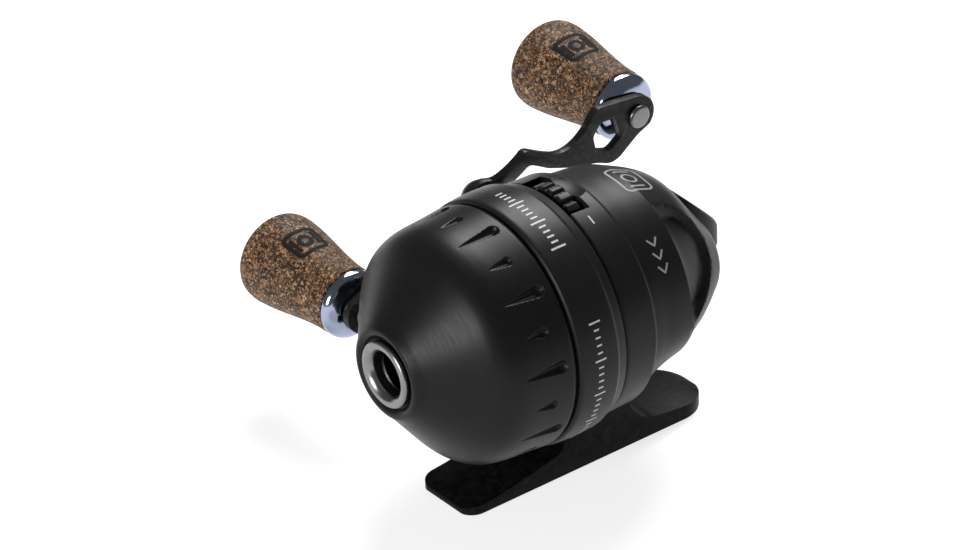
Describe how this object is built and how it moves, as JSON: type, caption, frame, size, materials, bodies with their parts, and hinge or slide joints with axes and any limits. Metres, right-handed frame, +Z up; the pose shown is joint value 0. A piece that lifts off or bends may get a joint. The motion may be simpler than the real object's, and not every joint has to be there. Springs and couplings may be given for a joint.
{
  "type": "closed-face spincast fishing reel",
  "caption": "Closed-face spincast fishing reel with a bell-shaped front cover, thumb button, drag wheel, rod foot and a two-ended bent crank with cork knobs.",
  "frame": {"origin": "centre of the flat underside of the rod foot, below the reel body's axis", "axes": "+Y runs along the reel body from the nose to the thumb end, +Z is up away from the foot, and the crank is on the -X side"},
  "size_m": [0.0874, 0.0984, 0.0598],
  "materials": {
    "housing_black": "satin black moulded nylon",
    "cover_black": "satin black anodised aluminium",
    "band_black": "satin black anodised, turned edges",
    "ring_steel": "turned, polished lip",
    "foot_black": "satin black anodised",
    "screw_steel": "plain steel",
    "deck_alloy": "machined",
    "bearing_brass": "turned",
    "clutch_steel": "ground",
    "spring_steel": "drawn wire",
    "shaft_steel": "ground",
    "gear_brass": "cut teeth",
    "arm_black": "satin black anodised, bright edges",
    "nut_steel": "bright",
    "rivet_alloy": "brushed",
    "collar_chrome": "polished, cool tint",
    "knob_cork": "rubberised cork, satin",
    "spinner_alloy": "machined",
    "button_black": "satin black, soft feel",
    "spool_alloy": "machined",
    "drag_black": "satin black moulding",
    "drag_felt": "pressed felt"
  },
  "bodies": {
    "frame": {"main_housing": "housing_black", "front_cover": "cover_black", "line_guide_ring": "ring_steel", "trim_band": "band_black", "reel_foot": "foot_black", "foot_screw_1": "screw_steel", "foot_screw_2": "screw_steel", "deck_plate": "deck_alloy", "deck_screw_1": "screw_steel", "deck_screw_2": "screw_steel", "deck_screw_3": "screw_steel", "pinion_bushing": "bearing_brass", "crank_bushing": "bearing_brass", "one_way_clutch": "clutch_steel", "button_pin": "screw_steel", "spool_clip": "screw_steel", "return_spring": "spring_steel"},
    "crank": {"crank_shaft": "shaft_steel", "drive_gear": "gear_brass", "crank_collar": "arm_black", "crank_arm": "arm_black", "crank_nut": "nut_steel", "knob_spindle_1": "rivet_alloy", "knob_spindle_2": "rivet_alloy"},
    "knob_1": {"knob_collar_1": "collar_chrome", "knob_cork_1": "knob_cork"},
    "knob_2": {"knob_collar_2": "collar_chrome", "knob_cork_2": "knob_cork"},
    "pinion": {"pinion_gear": "gear_brass"},
    "carriage": {"spring_retainer": "screw_steel"},
    "spinner": {"center_shaft": "shaft_steel", "spinner_head": "spinner_alloy", "spinner_nut": "nut_steel"},
    "pickup": {"pickup_pin": "shaft_steel"},
    "button": {"thumb_button": "button_black"},
    "spool": {"spool": "spool_alloy"},
    "drag_wheel": {"drag_wheel": "drag_black"},
    "drag_plunger": {"drag_screw": "shaft_steel", "drag_pad": "drag_felt"}
  },
  "joints": [
    {"name": "crank_turn", "type": "hinge", "parent": "frame", "child": "crank", "pos_m": [-0.0363, 0.01025, 0.0343], "axis": [1, 0, 0], "continuous": true},
    {"name": "knob_1_spin", "type": "hinge", "parent": "crank", "child": "knob_1", "pos_m": [-0.0498, 0.04478, 0.04336], "axis": [1, 0, 0], "continuous": true},
    {"name": "knob_2_spin", "type": "hinge", "parent": "crank", "child": "knob_2", "pos_m": [-0.0498, -0.02428, 0.02524], "axis": [1, 0, 0], "continuous": true},
    {"name": "pinion_turn", "type": "hinge", "parent": "frame", "child": "pinion", "pos_m": [0, -0.01655, 0.0343], "axis": [0, 1, 0], "continuous": true},
    {"name": "button_press", "type": "hinge", "parent": "frame", "child": "button", "pos_m": [0, 0.01745, 0.0481], "axis": [-1, 0, 0], "range_deg": [0, 13.2], "stiffness_Nm_per_rad": 0.35, "springref_deg": -5.73},
    {"name": "carriage_slide", "type": "slide", "parent": "frame", "child": "carriage", "axis": [0, -1, 0], "range_m": [0, 0.0036], "deforming": ["return_spring"]},
    {"name": "spinner_turn", "type": "hinge", "parent": "carriage", "child": "spinner", "pos_m": [0, -0.01655, 0.0343], "axis": [0, 1, 0], "continuous": true},
    {"name": "pickup_slide", "type": "slide", "parent": "spinner", "child": "pickup", "axis": [-1, 0, 0], "range_m": [0, 0.0018]},
    {"name": "spool_slip", "type": "hinge", "parent": "frame", "child": "spool", "pos_m": [0, -0.01655, 0.0343], "axis": [0, 1, 0], "continuous": true},
    {"name": "drag_wheel_turn", "type": "hinge", "parent": "frame", "child": "drag_wheel", "pos_m": [0, -0.00145, 0.0496], "axis": [0, 1, 0], "range_deg": [0, 270]},
    {"name": "drag_plunger_slide", "type": "slide", "parent": "frame", "child": "drag_plunger", "axis": [0, -1, 0], "range_m": [0, 0.00082]}
  ],
  "couplings": [
    {"joint": "pinion_turn", "follows": "crank_turn", "ratio": -4.1},
    {"joint": "spinner_turn", "follows": "crank_turn", "ratio": -4.1},
    {"joint": "carriage_slide", "follows": "button_press", "m_per_rad": 0.0143},
    {"joint": "pickup_slide", "follows": "button_press", "m_per_rad": 0.0069},
    {"joint": "drag_plunger_slide", "follows": "drag_wheel_turn", "m_per_rad": 0.00017}
  ]
}
